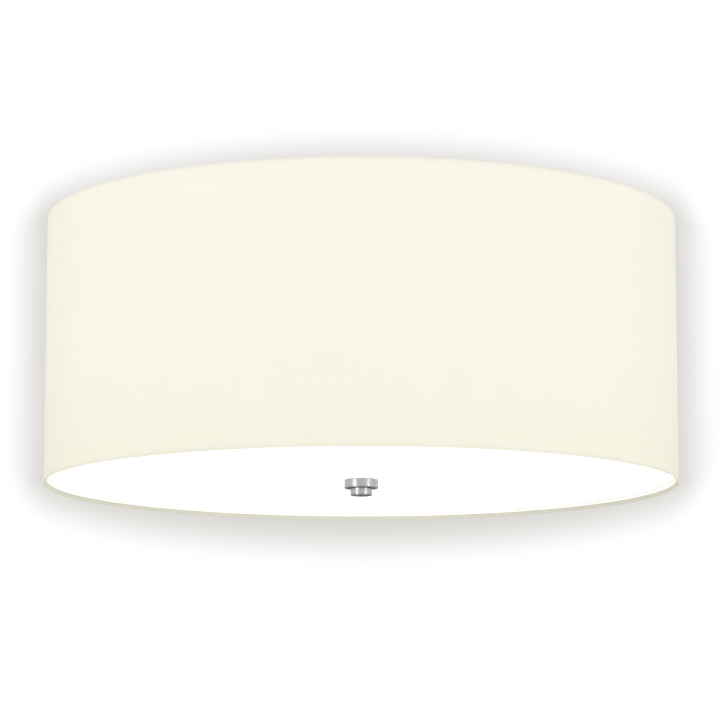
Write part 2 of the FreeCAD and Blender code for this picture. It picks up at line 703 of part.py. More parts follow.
# ---- bulbs: contact and glass insulator, rolled cap, moulded housing and opal globe ----------------
insulator_radius = insulator_diameter / 2
tip = laid_out(turned([(0, bulb_tip), (bulb_contact_diameter / 2, bulb_tip, bulb_contact_round),
                       (bulb_contact_diameter / 2, bulb_tip + bulb_contact_height),
                       (insulator_radius, bulb_tip + bulb_contact_height + insulator_cone),
                       (insulator_radius, bulb_tip + insulator_height), (0, bulb_tip + insulator_height)]))

cap_end = bulb_tip + cap_length
cap_root = cap_crest - knuckle_depth
cap_inner = cap_root - cap_sheet
turns_start = bulb_tip + cap_shoulder
turns_end = cap_end - knuckle_pitch
lip_radius = insulator_radius + glue_line
cap = laid_out(turned([(lip_radius, turns_start - cap_sheet), (cap_root, turns_start)]
                      + knuckle_thread(turns_start, turns_end, cap_crest, cap_root)
                      + [(cap_root, turns_end), (cap_root, cap_end), (cap_inner, cap_end),
                         (cap_inner, turns_start + cap_sheet), (lip_radius, turns_start + cap_sheet / 2)]))

globe_radius = globe_diameter / 2
rim_at = cap_end + housing_rim_length
rim_radius = math.sqrt(globe_radius ** 2 - globe_rise ** 2)
neck_radius_out = cap_inner - glue_line
housing_neck_inner = neck_radius_out - housing_wall
throat_radius = cap_root + housing_throat
waist_at = cap_end + housing_waist_at
band_at = rim_at - housing_rim_band
bulb_housing = laid_out(turned([
    (housing_neck_inner, cap_end - housing_neck_length), (neck_radius_out, cap_end - housing_neck_length),
    (neck_radius_out, cap_end), (throat_radius, cap_end, housing_throat / 2),
    (throat_radius + housing_waist, waist_at, housing_flare_round),
    (rim_radius, band_at, housing_rim_round), (rim_radius, rim_at), (rim_radius - housing_wall, rim_at),
    (rim_radius - housing_wall, band_at, housing_rim_round - housing_wall),
    (throat_radius + housing_waist - housing_wall, waist_at, housing_flare_round),
    (housing_neck_inner, cap_end)]))

globe_centre = rim_at + globe_rise
globe_neck_outer = rim_radius - housing_wall - glue_line
globe_neck_inner = globe_neck_outer - globe_wall
neck_back = rim_at - globe_neck_length
ball = Part.makeSphere(globe_radius, FreeCAD.Vector(0, 0, globe_centre))
behind_rim = rod(globe_diameter, rim_at - globe_diameter, rim_at + glue_line)
globe = ball.cut(behind_rim)
globe = globe.fuse(rod(globe_neck_outer, neck_back, rim_at + globe_rise / 2))
hollow = Part.makeSphere(globe_radius - globe_wall, FreeCAD.Vector(0, 0, globe_centre))
hollow = hollow.cut(moved(behind_rim, z=globe_wall)).fuse(rod(globe_neck_inner, neck_back,
                                                              rim_at + globe_rise / 2))
globe = laid_out(globe.cut(hollow))

rivets = []
nipples = []
nipple_nuts = []
tongues = []
for number, angle in enumerate(holder_angles, start=1):
    rivets += [turned_about_z(moved(rivet, reach), angle) for reach in rivet_places]
    nipples.append(turned_about_z(nipple, angle))
    nipple_nuts.append(turned_about_z(nipple_nut, angle))
    tongues.append(turned_about_z(tongue, angle))
    for name, shape in (("holder_bracket", plate), ("holder_dome", dome), ("holder_barrel", barrel),
                        ("holder_shell", shell), ("bulb_tip", tip), ("bulb_cap", cap),
                        ("bulb_housing", bulb_housing), ("bulb_globe", globe)):
        save(f"{name}_{number}", turned_about_z(shape, angle))
save("bracket_rivets", *rivets)
save("holder_nipples", *nipples)
save("holder_nuts", *nipple_nuts)
save("holder_contacts", *tongues)

# ---- shade: cloth with its glued seam at the back, and the white film inside it ---------------------
cloth = turned([(fabric_inner, shade_bottom), (shade_radius, shade_bottom, fabric_edge),
                (shade_radius, shade_top, fabric_edge), (fabric_inner, shade_top)])
seam_zone = block((-seam_width / 2, 0, shade_bottom + fabric_edge),
                  (seam_width / 2, shade_diameter, shade_top - fabric_edge))
seam = ring(shade_radius - fabric_thickness / 2, shade_radius + seam_thickness,
            shade_bottom + fabric_edge, shade_top - fabric_edge).common(seam_zone)
save("shade_fabric", cloth.fuse(seam).removeSplitter())

save("shade_lining", ring(lining_inner, lining_outer, shade_bottom + edge_reveal, shade_top - edge_reveal))

# ---- carrier: wire ring in the top edge, three dropped arms and a flat hub, welded together --------
top_wire_radius = top_wire_diameter / 2
arm_wire_radius = arm_wire_diameter / 2
wire_circle = ring_outer - top_wire_radius
wire_height = shade_top - edge_reveal - top_wire_radius
top_ring = Part.makeTorus(wire_circle, top_wire_radius, FreeCAD.Vector(0, 0, wire_height))
save("shade_top_ring", top_ring)

hub = ring(hub_inner, hub_outer, hub_underside, pan_underside)
for angle in hub_stud_angles:
    hub = hub.cut(rod(hub_stud_diameter / 2 + hole_gap, hub_underside, pan_underside,
                      *on_circle(hub_stud_circle / 2, angle)))
save("carrier_hub", hub)

arm_drop_at = wire_circle - top_wire_radius - arm_wire_radius + weld_bite
arm_level = hub_underside - arm_wire_radius + weld_bite
arm_path = rounded_wire([(arm_drop_at, 0, wire_height + top_wire_radius, 0),
                         (arm_drop_at, 0, arm_level, arm_bend_radius),
                         (hub_outer - arm_weld_length, 0, arm_level, 0)], closed=False)
arm_start = Part.makeCircle(arm_wire_radius, FreeCAD.Vector(arm_drop_at, 0, wire_height + top_wire_radius),
                            z_axis)
arm = arm_path.makePipeShell([Part.Wire(arm_start)], True, False).cut(top_ring)
save("carrier_arms", *[turned_about_z(arm, angle).cut(hub) for angle in arm_angles])

nut_height = thumb_nut_neck + thumb_nut_grip
hub_stud_length = pan_sheet + hub_sheet + nut_height + hub_stud_overhang
hub_stud = headed_pin(hub_stud_diameter / 2, hub_stud_length, hub_stud_head_diameter / 2,
                      hub_stud_head_height)
nut_bore = hub_stud_diameter / 2 + thread_gap
neck_side = thumb_nut_neck_diameter / 2
grip_radius = thumb_nut_diameter / 2
thumb_nut = turned([(nut_bore, 0), (neck_side, 0), (neck_side, -thumb_nut_neck),
                    (grip_radius, -thumb_nut_neck, thumb_nut_round),
                    (grip_radius, -nut_height, thumb_nut_round), (nut_bore, -nut_height)])
groove = rod(thumb_nut_groove_diameter / 2, -nut_height, -thumb_nut_neck, grip_radius)
groove_step = 360 / thumb_nut_groove_count
thumb_nut = thumb_nut.cut([turned_about_z(groove, groove_step * index)
                           for index in range(thumb_nut_groove_count)])
stud_spots = [on_circle(hub_stud_circle / 2, angle) for angle in hub_stud_angles]
save("carrier_studs", *[moved(hub_stud, x, y, pan_floor) for x, y in stud_spots])
save("carrier_thumb_nuts", *[moved(thumb_nut, x, y, hub_underside) for x, y in stud_spots])

# ---- bottom ring: a white angle in the shade's bottom edge; its lip is the disc's light seal --------
lip_underside = diffuser_top + seat_gap
lip_top = lip_underside + ring_sheet
ring_bottom = shade_bottom + edge_reveal
lip_inner = ring_inner - ring_lip_width
save("shade_bottom_ring", turned([(ring_inner, ring_bottom), (ring_outer, ring_bottom),
                                  (ring_outer, lip_top, ring_sheet * 0.8), (lip_inner, lip_top),
                                  (lip_inner, lip_underside), (ring_inner, lip_underside)]))

# ---- diffuser: opal disc between a stop on the rod and the finial ----------------------------------
save("diffuser_disc", turned([(rod_diameter / 2 + diffuser_hole_gap, diffuser_underside),
                              (diffuser_radius, diffuser_underside, diffuser_edge_round),
                              (diffuser_radius, diffuser_top, diffuser_edge_round),
                              (rod_diameter / 2 + diffuser_hole_gap, diffuser_top)]))

cushion_top = diffuser_top + cushion_height
washer_top = cushion_top + stop_washer_sheet
save("upper_cushion", ring(rod_diameter / 2 + seat_gap, cushion_diameter / 2, diffuser_top, cushion_top))
save("stop_washer", ring(rod_diameter / 2 + hole_gap, stop_washer_diameter / 2, cushion_top, washer_top))
save("stop_nut", moved(hex_nut(stop_nut_flats, stop_nut_height, female_radius), z=washer_top))

# ---- finial: a collar that slides on the rod, and the cap that screws up under it ------------------
collar_bore = rod_diameter / 2 + collar_rod_gap
cushion_radius = collar_cushion_diameter / 2
cushion_floor = diffuser_underside - collar_cushion_height
neck_room = cap_neck_diameter / 2 + seat_gap
hollow_top = collar_top - collar_roof
collar_radius = collar_diameter / 2
collar = turned([(collar_bore, cushion_floor), (cushion_radius + glue_line, cushion_floor),
                 (cushion_radius + glue_line, collar_top), (collar_radius, collar_top, collar_round),
                 (collar_radius, collar_bottom + collar_edge_chamfer),
                 (collar_radius - collar_edge_chamfer, collar_bottom), (neck_room, collar_bottom),
                 (neck_room, hollow_top), (collar_bore, hollow_top)])
save("finial_collar", collar)
save("lower_cushion", ring(rod_diameter / 2 + diffuser_hole_gap, cushion_radius, cushion_floor,
                           diffuser_underside))

cap_nut_radius = cap_nut_diameter / 2
neck_top = collar_bottom + cap_neck_length
cap_nut = turned([(female_radius, neck_top), (cap_neck_diameter / 2, neck_top, cap_nut_round / 2),
                  (cap_neck_diameter / 2, collar_bottom),
                  (cap_nut_radius, collar_bottom, cap_nut_round / 2),
                  (cap_nut_radius, cap_nut_bottom, cap_nut_round), (0, cap_nut_bottom), (0, cap_bore_end),
                  (female_radius, cap_bore_end)])
save("finial_cap", cap_nut)
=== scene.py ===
import math

import bmesh
import bpy
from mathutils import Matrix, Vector


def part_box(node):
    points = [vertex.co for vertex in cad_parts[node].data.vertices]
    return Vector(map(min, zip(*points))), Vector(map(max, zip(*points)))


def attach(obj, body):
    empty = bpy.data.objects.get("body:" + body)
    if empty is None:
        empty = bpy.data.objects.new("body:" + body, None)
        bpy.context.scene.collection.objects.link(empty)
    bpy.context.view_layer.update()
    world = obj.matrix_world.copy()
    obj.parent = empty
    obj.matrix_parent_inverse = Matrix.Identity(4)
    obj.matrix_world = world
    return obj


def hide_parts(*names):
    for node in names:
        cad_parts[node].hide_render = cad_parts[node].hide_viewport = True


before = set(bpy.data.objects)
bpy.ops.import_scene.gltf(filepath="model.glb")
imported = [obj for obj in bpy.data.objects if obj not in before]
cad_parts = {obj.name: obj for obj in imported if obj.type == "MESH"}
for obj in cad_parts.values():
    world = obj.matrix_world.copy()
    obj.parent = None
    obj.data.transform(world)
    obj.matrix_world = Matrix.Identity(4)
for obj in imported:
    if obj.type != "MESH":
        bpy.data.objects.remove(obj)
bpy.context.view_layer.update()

# ---- camera ----------------------------------------------------------------------------------------
# A long lens, three metres in front of the light and a little below it, tilted up, so that the drum's
# underside shows as a flat ellipse and its sides stay nearly upright.
camera_data = bpy.data.cameras.new("camera")
camera_data.lens = 162.43
camera_data.sensor_width = 36.0
camera = bpy.data.objects.new("camera", camera_data)
camera.location = (0.0, -3.0626, -0.6150)
tilt_up = 0.1553
turn_left = 0.0004
camera.rotation_euler = (math.pi / 2 + tilt_up, 0.0, turn_left)
bpy.context.scene.collection.objects.link(camera)
bpy.context.scene.camera = camera
bpy.context.scene.view_settings.view_transform = "Standard"


# ---- steel crossbar and its screws -----------------------------------------------------------------
# A stepped strip of mild steel with two slots is screwed to the ceiling, and two screws hang from it.
# Both are barrel zinc plated, as are most nuts, screws and washers of the light.
def linear(code):
    """An sRGB hex colour as linear red, green, blue and alpha."""
    shares = [int(code[i:i + 2], 16) / 255 for i in (1, 3, 5)]
    return tuple(s / 12.92 if s <= 0.04045 else ((s + 0.055) / 1.055) ** 2.4 for s in shares) + (1.0,)


def add(tree, kind, sockets=(), **settings):
    """Adds one shader node: its settings, and for each socket a value or the output that feeds it."""
    node = tree.nodes.new("ShaderNode" + kind)
    for name, value in settings.items():
        setattr(node, name, value)
    for socket, value in dict(sockets).items():
        if isinstance(value, bpy.types.NodeSocket):
            tree.links.new(value, node.inputs[socket])
        else:
            node.inputs[socket].default_value = value
    return node


def blend(tree, share, first, second, **settings):
    """Mixes two colours, each a hex code or an output; the share is the second's. Returns the output."""
    first, second = (linear(colour) if isinstance(colour, str) else colour for colour in (first, second))
    return add(tree, "Mix", {0: share, 6: first, 7: second}, data_type="RGBA", **settings).outputs[2]


def remap(tree, value, given=(0.0, 1.0), wanted=(0.0, 1.0), **settings):
    """Takes a value from the given range to the wanted one and stops at its ends. Returns the output."""
    ends = {"From Min": given[0], "From Max": given[1], "To Min": wanted[0], "To Max": wanted[1]}
    return add(tree, "MapRange", {"Value": value, **ends}, **settings).outputs[0]


def noise(tree, place, size, detail=2.0):
    """A soft random pattern from 0 to 1 whose clouds are so many mm across. Returns the output."""
    return add(tree, "TexNoise", {"Vector": place, "Scale": 1000 / size, "Detail": detail}).outputs[0]


def new_finish(name):
    """A blank material, its node tree and its object coordinates, which are metres on the real light."""
    material = bpy.data.materials.new(name)
    material.use_nodes = True
    material.node_tree.nodes.clear()
    return material, material.node_tree, add(material.node_tree, "TexCoord").outputs["Object"]


def grained(name, pale, deep, patch, rough, grain, depth, **sockets):
    """A finish of two close shades in patches, with a fine grain; patch, grain and depth are in mm."""
    material, tree, place = new_finish(name)
    shade = blend(tree, noise(tree, place, patch, detail=3.0), pale, deep)
    pits = noise(tree, place, grain)
    relief = add(tree, "Bump", {"Height": pits, "Distance": depth / 1000})
    more = {socket.replace("_", " "): value for socket, value in sockets.items()}
    shader = add(tree, "BsdfPrincipled", {"Base Color": shade, "Roughness": remap(tree, pits, wanted=rough),
                                          "Normal": relief.outputs[0], **more})
    add(tree, "OutputMaterial", {"Surface": shader.outputs[0]})
    return material


def dress(material, *names):
    """Gives the material to every slot of the named CAD pieces."""
    for name in names:
        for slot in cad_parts[name].material_slots:
            slot.material = material


# Zinc plate, clear passivated: a pale blue-grey metal in soft clouds, neither bright nor matt. Its
# crystals are a few hundredths of a millimetre, drawn at 0.8 mm to show.
zinc_plate = grained("zinc_plated_steel", "#C9CED2", "#AEB6BC", 7.0, (0.24, 0.42), 0.8, 0.012,
                     Metallic=1.0)
dress(zinc_plate, "mounting_bracket", "bracket_studs")

# ---- ceiling pan and its dome nuts -----------------------------------------------------------------
# A dish pressed from 1.2 mm steel covers the wiring, held up to the crossbar by two dome nuts.
# White polyester powder, sprayed and baked: a soft gloss with orange peel about 1.5 mm across.
powder_coat = grained("white_powder_coated_steel", "#F4F3EF", "#ECEBE6", 40.0, (0.30, 0.40), 1.5, 0.03,
                      IOR=1.5)
dress(powder_coat, "ceiling_pan", "stud_cap_nuts")

# ---- mains terminal block and earth point ----------------------------------------------------------
# A nylon block snaps into the pan's floor and holds three brass sleeves, each with two steel screws.
# The earth lead is crimped in a ring tag under a screw beside it.
# Nylon, moulded: milky and slightly warm, with a soft sheen.
nylon = grained("white_nylon", "#F2EFE5", "#E8E4D6", 9.0, (0.36, 0.46), 0.9, 0.01, IOR=1.53)
dress(nylon, "terminal_block")
# Brass, turned and left bare: yellow, a little browner where it has been handled.
brass = grained("turned_brass", "#EBD08C", "#D6B264", 5.0, (0.20, 0.34), 0.5, 0.006, Metallic=1.0)
dress(brass, "terminal_clamps", "holder_contacts")
dress(zinc_plate, "terminal_screws", "earth_tag", "earth_screw")

# ---- grommets and inner leads ----------------------------------------------------------------------
# Three rubber bushes line the pan's holes. A live and a neutral lead run from the block down through
# each into the back of a lampholder, and the earth lead runs along the pan's floor to its tag.
# EPDM rubber, moulded: almost black and matt.
rubber = grained("black_rubber", "#1B1B1C", "#262627", 4.0, (0.66, 0.84), 0.6, 0.015, IOR=1.52)
dress(rubber, "lead_grommets")
# Silicone rubber insulation, extruded over stranded copper: a satin skin in the three mains colours.
brown_sleeve = grained("brown_insulation", "#5E3B26", "#533321", 6.0, (0.38, 0.50), 0.7, 0.01, IOR=1.45)
blue_sleeve = grained("blue_insulation", "#2F74BE", "#2A69AE", 6.0, (0.38, 0.50), 0.7, 0.01, IOR=1.45)
dress(brown_sleeve, "live_leads")
dress(blue_sleeve, "neutral_leads")


def facing_up(tree):
    """How far the surface faces up: 1 on top, 0 at a side, -1 underneath. Returns the output."""
    return add(tree, "SeparateXYZ", {"Vector": add(tree, "TexCoord").outputs["Normal"]}).outputs["Z"]


def reckon(tree, operation, *terms):
    """Works out one step on its terms, each a number or an output. Returns the output."""
    return add(tree, "Math", dict(enumerate(terms)), operation=operation).outputs[0]


# The earth lead's skin is extruded in two colours, a green and a yellow half along its whole length.
# The lead lies flat, so the half that faces up is green.
green_above = 0.1
skin_grain = 0.7                        # in mm, like the other sizes of noise patterns
earth_sleeve, tree, place = new_finish("green_yellow_insulation")
two_tone = blend(tree, reckon(tree, "GREATER_THAN", facing_up(tree), green_above), "#D8C92C", "#2F8F45")
gloss = remap(tree, noise(tree, place, skin_grain), wanted=(0.38, 0.50))
shader = add(tree, "BsdfPrincipled", {"Base Color": two_tone, "Roughness": gloss, "IOR": 1.45})
add(tree, "OutputMaterial", {"Surface": shader.outputs[0]})
dress(earth_sleeve, "earth_lead")


# ---- centre rod ------------------------------------------------------------------------------------
# A hollow steel rod, rolled with an M10 x 1 thread from end to end, hangs from the pan between two nuts
# and a toothed washer. The disc's stop and the finial screw onto its lower end.
def join_rings(mesh, rings):
    """Joins each closed ring of points to the next one with four-sided faces."""
    for here, there in zip(rings, rings[1:]):
        for step in range(len(here)):
            after = (step + 1) % len(here)
            mesh.faces.new((here[step], here[after], there[after], there[step]))


def piece_from(mesh, name, material, slot, body, *nodes):
    """Makes a smooth piece of a finished bmesh, which stands for the nodes and rides on the body."""
    bmesh.ops.recalc_face_normals(mesh, faces=mesh.faces)
    for face in mesh.faces:
        face.smooth = True
    data = bpy.data.meshes.new(name)
    mesh.to_mesh(data)
    mesh.free()
    data.materials.append(material)
    piece = bpy.data.objects.new(name, data)
    bpy.context.scene.collection.objects.link(piece)
    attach(piece, body)
    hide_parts(*nodes)
    return piece


rod_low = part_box("centre_rod")[0].z
rod_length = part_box("centre_rod")[1].z - rod_low
thread_pitch = 0.001
thread_crest = 0.00498
thread_root = 0.00438
crest_from, crest_to = 0.42, 0.58       # the crest's two corners, as shares of the pitch
rod_bore = 0.00375
turn_steps = 32
merge_gap = 1e-7
mesh = bmesh.new()
rows = []
# one row of root and crest points for each step up the helix; it runs out to the root at both ends
for step in range(int((rod_length / thread_pitch + 2) * turn_steps) + 1):
    angle = 2 * math.pi * (step % turn_steps) / turn_steps
    row = []
    for rise, radius in ((0.0, thread_root), (crest_from, thread_crest), (crest_to, thread_crest)):
        height = (step / turn_steps - 1 + rise) * thread_pitch
        runout = min(1.0, max(0.0, min(height, rod_length - height) / thread_pitch))
        reach = thread_root + (radius - thread_root) * runout
        row.append(mesh.verts.new((reach * math.cos(angle), reach * math.sin(angle),
                                   rod_low + min(max(height, 0.0), rod_length))))
    rows.append(row)
for step in range(len(rows) - 1):
    for low, high in ((0, 1), (1, 2)):
        mesh.faces.new((rows[step][low], rows[step + 1][low], rows[step + 1][high], rows[step][high]))
    if step + 1 + turn_steps < len(rows):
        mesh.faces.new((rows[step][2], rows[step + 1][2],
                        rows[step + 1 + turn_steps][0], rows[step + turn_steps][0]))
# the bore and the two end faces
join_rings(mesh, [[mesh.verts.new((radius * math.cos(2 * math.pi * step / turn_steps),
                                   radius * math.sin(2 * math.pi * step / turn_steps), height))
                   for step in range(turn_steps)]
                  for radius, height in ((thread_root, rod_low), (rod_bore, rod_low),
                                         (rod_bore, rod_low + rod_length),
                                         (thread_root, rod_low + rod_length))])
bmesh.ops.remove_doubles(mesh, verts=mesh.verts, dist=merge_gap)
bmesh.ops.dissolve_degenerate(mesh, edges=mesh.edges, dist=merge_gap)
piece_from(mesh, "threaded_rod", zinc_plate, "zinc_plated_steel", "fixture", "centre_rod")
dress(zinc_plate, "centre_rod", "rod_nuts", "rod_lock_washer")

# ---- lampholders -----------------------------------------------------------------------------------
# Three angle plates are riveted under the pan. Each carries an E27 lampholder that points outwards: a
# dome on a threaded nipple, a barrel screwed to it, a rolled shell and a sprung centre contact.
dress(powder_coat, "holder_bracket_1", "holder_bracket_2", "holder_bracket_3")
# Aluminium, cold headed: pale and soft, with a satin skin from the rivet tool.
aluminium = grained("rivet_aluminium", "#DFE0E1", "#C9CBCD", 3.0, (0.28, 0.40), 0.5, 0.006, Metallic=1.0)
dress(aluminium, "bracket_rivets")
dress(zinc_plate, "holder_nipples", "holder_nuts")
# PBT polyester, moulded in a spark-eroded tool: white, with a fine even grain and little gloss.
holder_pbt = grained("white_pbt", "#F3F2ED", "#EBE9E2", 14.0, (0.34, 0.46), 0.8, 0.02, IOR=1.55)
# Brass, rolled thin and nickel plated: a warm bright white metal, smooth on the thread's crests.
plated_brass = grained("nickel_plated_brass", "#D8D2C4", "#C4BCAB", 6.0, (0.14, 0.26), 0.6, 0.004,
                       Metallic=1.0)
for number in (1, 2, 3):
    dress(holder_pbt, f"holder_dome_{number}", f"holder_barrel_{number}")
    dress(plated_brass, f"holder_shell_{number}")

# ---- bulbs -----------------------------------------------------------------------------------------
# Three lit LED bulbs lie flat in the holders: a solder contact in a black glass insulator, a rolled
# cap, a white housing and a globe that glows warm white.
# Opaque glass, fused into the cap: so dark that it looks black, with a sharp gloss.
black_glass = grained("black_insulating_glass", "#0C0A12", "#15121C", 3.0, (0.05, 0.12), 1.0, 0.003,
                      IOR=1.6)
# PBT polyester over an aluminium core, moulded: cleaner and smoother than the holder's.
housing_pbt = grained("bulb_housing_pbt", "#F7F7F4", "#F0F0EC", 12.0, (0.28, 0.36), 0.7, 0.008, IOR=1.55)
# Polycarbonate with a diffusing filler, blown: a satin skin with the light spread evenly behind it.
lit_globe = grained("opal_polycarbonate", "#FBF8F0", "#F5F1E6", 10.0, (0.30, 0.38), 0.9, 0.006, IOR=1.585,
                    Emission_Color=linear("#FFF3DC"), Emission_Strength=1.1)
for number in (1, 2, 3):
    dress(black_glass, f"bulb_tip_{number}")
    dress(plated_brass, f"bulb_cap_{number}")
    dress(housing_pbt, f"bulb_housing_{number}")
    dress(lit_globe, f"bulb_globe_{number}")


# ---- shade: wire carrier, film and cloth -----------------------------------------------------------
# A wire ring, three dropped arms and a flat hub are welded up and hung from the pan by three thumb
# nuts. A white film, rolled into a drum, is glued round the rings, and the cloth is glued round it.
def length_of(tree, x, y):
    """The length of the flat vector x, y, each of them an output. Returns the output."""
    flat = add(tree, "CombineXYZ", {"X": x, "Y": y}).outputs[0]
    return add(tree, "VectorMath", {0: flat}, operation="LENGTH").outputs["Value"]


dress(powder_coat, "shade_top_ring", "carrier_arms", "carrier_hub", "carrier_thumb_nuts")
dress(zinc_plate, "carrier_studs")
# Styrene film, calendered: white and smooth, with a faint glow painted on for the bulbs' light inside the
# drum.
film_with_painted_glow = grained("white_styrene_film_painted_glow", "#FAF9F5", "#F5F3EC", 60.0, (0.30, 0.38), 1.6, 0.01, IOR=1.59,
               Emission_Color=linear("#FFF4DF"), Emission_Strength=0.12)
dress(film_with_painted_glow, "shade_lining")
# The bottom ring has the pan's powder, with a glow painted on for the light the lit disc beside it throws on
# it.
powder_with_painted_glow = grained("white_powder_painted_disc_glow", "#F4F3EF", "#ECEBE6", 40.0, (0.30, 0.40), 1.5,
                     0.03, IOR=1.5, Emission_Color=linear("#FFFDF8"), Emission_Strength=0.22)
dress(powder_with_painted_glow, "shade_bottom_ring")

# Cotton drill, piece dyed ivory, with the bulbs' light through it painted on as a glow: an even, close weave
# with a few thick yarns. The yarns are about 0.5 mm apart and are drawn at 1.6 mm to show; the thick ones
# run on for some 60 mm.
cloth_finish, tree, place = new_finish("ivory_cotton_drill")
drum_radius = 0.3
yarn_gap = 0.0016
thick_yarn_width, thick_yarn_length = 0.0022, 0.06
slub_range = (0.7, 1.3)                 # what the two directions' thick yarns mostly add up to
wave_period = 2 * math.pi / 20          # a wave texture of scale 1 repeats after this length
xyz = add(tree, "SeparateXYZ", {"Vector": place})
front = reckon(tree, "MULTIPLY", xyz.outputs["Y"], -1.0)
turn = reckon(tree, "ARCTAN2", xyz.outputs["X"], front)
around = reckon(tree, "MULTIPLY", turn, drum_radius)
unrolled = add(tree, "CombineXYZ", {"X": around, "Y": xyz.outputs["Z"]}).outputs[0]
yarns = []
slubs = []
across, along = 1 / thick_yarn_width, 1 / thick_yarn_length
for direction, stretch in (("X", (across, along, 1.0)), ("Y", (along, across, 1.0))):
    waves = add(tree, "TexWave", {"Vector": unrolled, "Scale": wave_period / yarn_gap, "Distortion": 0.8,
                                  "Detail": 1.0, "Detail Scale": 0.4}, bands_direction=direction)
    yarns.append(waves.outputs["Fac"])
    stretched = add(tree, "Mapping", {"Vector": unrolled, "Scale": stretch}).outputs[0]
    slubs.append(add(tree, "TexNoise", {"Vector": stretched, "Scale": 1.0, "Detail": 2.0}).outputs[0])
weave = reckon(tree, "MAXIMUM", *yarns)
slub = reckon(tree, "ADD", *slubs)
dyed = blend(tree, remap(tree, slub, given=slub_range), "#F0EDE3", "#EAE7DB")
# the back of the cloth and its cut edges are coloured duller and faintly green
dull_begins, dull_full = 0.2997, 0.2992
dulled = remap(tree, length_of(tree, xyz.outputs["X"], xyz.outputs["Y"]), given=(dull_begins, dull_full))
colour = blend(tree, dulled, dyed, "#C8CABF")
weave_share = 0.6
height = reckon(tree, "MULTIPLY_ADD", weave, weave_share, slub)
relief = add(tree, "Bump", {"Height": height, "Distance": 0.00008})
# the light of the three bulbs through the cloth is painted on as a glow: a little stronger in front of each,
# weaker and yellower towards the bottom, and weaker still along both edges, which stand past the film's
# painted glow
bulb_count = 3.0
painted_dim_between_bulbs = remap(tree, reckon(tree, "COSINE", reckon(tree, "MULTIPLY", turn, bulb_count)), given=(-1.0, 1.0))
painted_glow = blend(tree, painted_dim_between_bulbs, "#FFFBE6", "#E5E1CE")
cloth_low, cloth_high = (corner.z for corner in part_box("shade_fabric"))
weak_below = 0.10
painted_dim_towards_bottom = remap(tree, xyz.outputs["Z"], given=(cloth_low + weak_below, cloth_low))
painted_glow = blend(tree, painted_dim_towards_bottom, painted_glow, "#F4F2DC", blend_type="MULTIPLY")
edge_band = 0.003
for edge, inward in ((cloth_low, 1), (cloth_high, -1)):
    painted_dim_at_edge = remap(tree, xyz.outputs["Z"], given=(edge + inward * edge_band, edge))
    painted_glow = blend(tree, painted_dim_at_edge, painted_glow, "#D6D4C8", blend_type="MULTIPLY")
shader = add(tree, "BsdfPrincipled",
             {"Base Color": colour, "Normal": relief.outputs[0], "Roughness": 0.85, "IOR": 1.45,
              "Sheen Weight": 0.15, "Sheen Roughness": 0.4, "Emission Color": painted_glow,
              "Emission Strength": 0.25})
add(tree, "OutputMaterial", {"Surface": shader.outputs[0]})

cloth_inside = 0.2990
cloth_outside = 0.29985
edge_round = 0.0003
lap_half = 0.006
lap_proud = 0.00045
lap_fade = 0.010
pull = 0.0001
# the unevenness: how many waves go round the drum, where they start, and how they change with height
long_waves, long_start, long_foot = 7, 0.6, 0.4
short_waves, short_start, short_change = 19, 2.1, 2.2
short_share = 0.6


def outside_of(arc, height):
    """The cloth's outer radius: slightly uneven, with the lap, square on one side and soft on the other."""
    angle = arc / drum_radius
    share = (height - cloth_low) / (cloth_high - cloth_low)
    long_wave = math.sin(long_waves * angle + long_start) * math.sin(math.pi * share + long_foot)
    short_wave = math.sin(short_waves * angle + short_start) * math.cos(short_change * share)
    uneven = (long_wave + short_share * short_wave) / (1 + short_share)
    soft = min(1.0, max(0.0, (arc + lap_half + lap_fade) / lap_fade))
    raised = soft * soft * (3 - 2 * soft) if arc <= lap_half else 0.0
    return cloth_outside + pull * uneven + lap_proud * raised


# The cloth's cross-section, once round: up the outside, over the top edge, down the inside and under
# the bottom edge. Each point is its share of the thickness and its height.
rows_outside, rows_inside = 42, 8
cut_edge = ((0.85, 0.25), (0.6, 0.0), (0.4, 0.0), (0.15, 0.25))
straight = cloth_high - cloth_low - 2 * edge_round
stations = [(1.0, cloth_low + edge_round + straight * row / rows_outside) for row in range(rows_outside + 1)]
stations += [(side, cloth_high - edge_round * drop) for side, drop in cut_edge]
stations += [(0.0, cloth_high - edge_round - straight * row / rows_inside) for row in range(rows_inside + 1)]
stations += [(side, cloth_low + edge_round * lift) for side, lift in reversed(cut_edge)]
# Arcs along the drum from the middle of the lap: close over the lap and its two sides, then wide.
half_way = math.pi * drum_radius
lap_start, lap_step, lap_steps = -0.0175, 0.0007, 33
edge_inside, edge_outside = 0.00005, 0.00015
past_step, past_steps = 0.002, 6
wide_steps = 374
arcs = [lap_start + lap_step * step for step in range(lap_steps)]
arcs += [lap_half - edge_inside, lap_half + edge_outside]
arcs += [lap_half + past_step + past_step * step for step in range(past_steps)]
start = arcs[-1]
arcs += [start + (2 * half_way - start + arcs[0]) * step / wide_steps for step in range(1, wide_steps)]
mesh = bmesh.new()
loops = []
for arc in arcs:
    angle = arc / drum_radius
    signed = arc if arc < half_way else arc - 2 * half_way
    loop = []
    for side, height in stations:
        radius = cloth_inside + side * (outside_of(signed, height) - cloth_inside)
        loop.append(mesh.verts.new((radius * math.sin(angle), radius * math.cos(angle), height)))
    loops.append(loop)
join_rings(mesh, loops + loops[:1])
cloth = piece_from(mesh, "shade_cloth", cloth_finish, "ivory_cloth", "fixture", "shade_fabric")
dress(cloth_finish, "shade_fabric")
